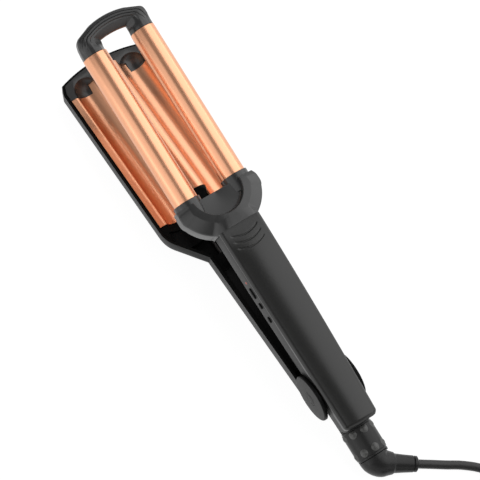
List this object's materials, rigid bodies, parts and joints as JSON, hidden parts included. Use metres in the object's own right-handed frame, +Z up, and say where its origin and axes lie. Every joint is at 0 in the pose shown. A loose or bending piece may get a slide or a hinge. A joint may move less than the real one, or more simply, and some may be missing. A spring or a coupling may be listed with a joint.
{
  "type": "hair waver",
  "caption": "Hair waver with copper barrels that close into a waved copper plate, black hinged arms held open by a spring, side buttons and a swivel cord.",
  "frame": {"origin": "middle of the open tool's footprint, on the plane that it lies on", "axes": "+X to the tool's right, +Y along the tool to its barrel tips, +Z up"},
  "size_m": [0.1701, 0.5494, 0.1052],
  "materials": {
    "gloss_black": "gloss",
    "satin_black": "satin",
    "matte_black": "fine matte",
    "copper_coat": "satin copper-coloured ceramic coat",
    "steel": "plain",
    "cast_alloy": "as cast",
    "heat_ceramic": "unglazed",
    "heat_plastic": "moulded, heat resistant",
    "brass": "bright",
    "board": "lacquered",
    "wire_cover": "soft",
    "cord_cover": "satin",
    "light_pipe": "clear"
  },
  "bodies": {
    "upper_arm": {"handle_shell": "satin_black", "handle_cover": "matte_black", "neck_base": "satin_black", "neck_cover": "matte_black", "hinge_pin": "steel", "opening_spring": "steel", "left_barrel": "copper_coat", "right_barrel": "copper_coat", "left_collar": "satin_black", "right_collar": "satin_black", "tip_bridge": "satin_black", "left_heat_core": "cast_alloy", "right_heat_core": "cast_alloy", "left_heater": "heat_ceramic", "right_heater": "heat_ceramic", "barrel_sensors": "brass", "control_board": "board", "button_board": "board", "status_light": "light_pipe", "barrel_leads": "wire_cover", "handle_screws": "steel", "cord_clamp": "matte_black", "swivel_sleeve": "satin_black", "slip_rings": "brass"},
    "lower_jaw": {"lower_housing": "gloss_black", "wave_plate": "copper_coat", "jaw_nose": "satin_black", "jaw_end_block": "satin_black", "plate_carrier": "heat_plastic", "plate_heater": "heat_ceramic", "plate_sensor": "brass", "arm_liner": "matte_black", "jaw_leads": "wire_cover", "lower_screws": "steel", "closing_bumper": "cord_cover", "left_hinge_cap": "satin_black", "right_hinge_cap": "satin_black"},
    "cord_swivel": {"swivel_elbow": "satin_black", "cord_lead": "cord_cover", "cord_coil": "cord_cover", "cord_tail": "cord_cover", "plug_body": "cord_cover", "plug_pins": "brass"},
    "power": {"power_button": "gloss_black"},
    "heat_up": {"heat_up_button": "gloss_black"},
    "heat_down": {"heat_down_button": "gloss_black"}
  },
  "joints": [
    {"name": "jaw_hinge", "type": "hinge", "parent": "upper_arm", "child": "lower_jaw", "pos_m": [0, -0.11932, 0.02702], "axis": [1, 0, 0], "range_deg": [0, 13], "stiffness_Nm_per_rad": 1.3, "springref_deg": -44.12, "deforming": ["opening_spring"]},
    {"name": "cord_turn", "type": "hinge", "parent": "upper_arm", "child": "cord_swivel", "pos_m": [0, -0.17761, 0.01256], "axis": [0, 0.9797, 0.2003], "continuous": true},
    {"name": "power_press", "type": "slide", "parent": "upper_arm", "child": "power", "axis": [1, 0, 0], "range_m": [0, 0.0008], "stiffness_N_per_m": 800, "springref_m": -0.0006},
    {"name": "heat_up_press", "type": "slide", "parent": "upper_arm", "child": "heat_up", "axis": [1, 0, 0], "range_m": [0, 0.0008], "stiffness_N_per_m": 800, "springref_m": -0.0006},
    {"name": "heat_down_press", "type": "slide", "parent": "upper_arm", "child": "heat_down", "axis": [1, 0, 0], "range_m": [0, 0.0008], "stiffness_N_per_m": 800, "springref_m": -0.0006}
  ]
}
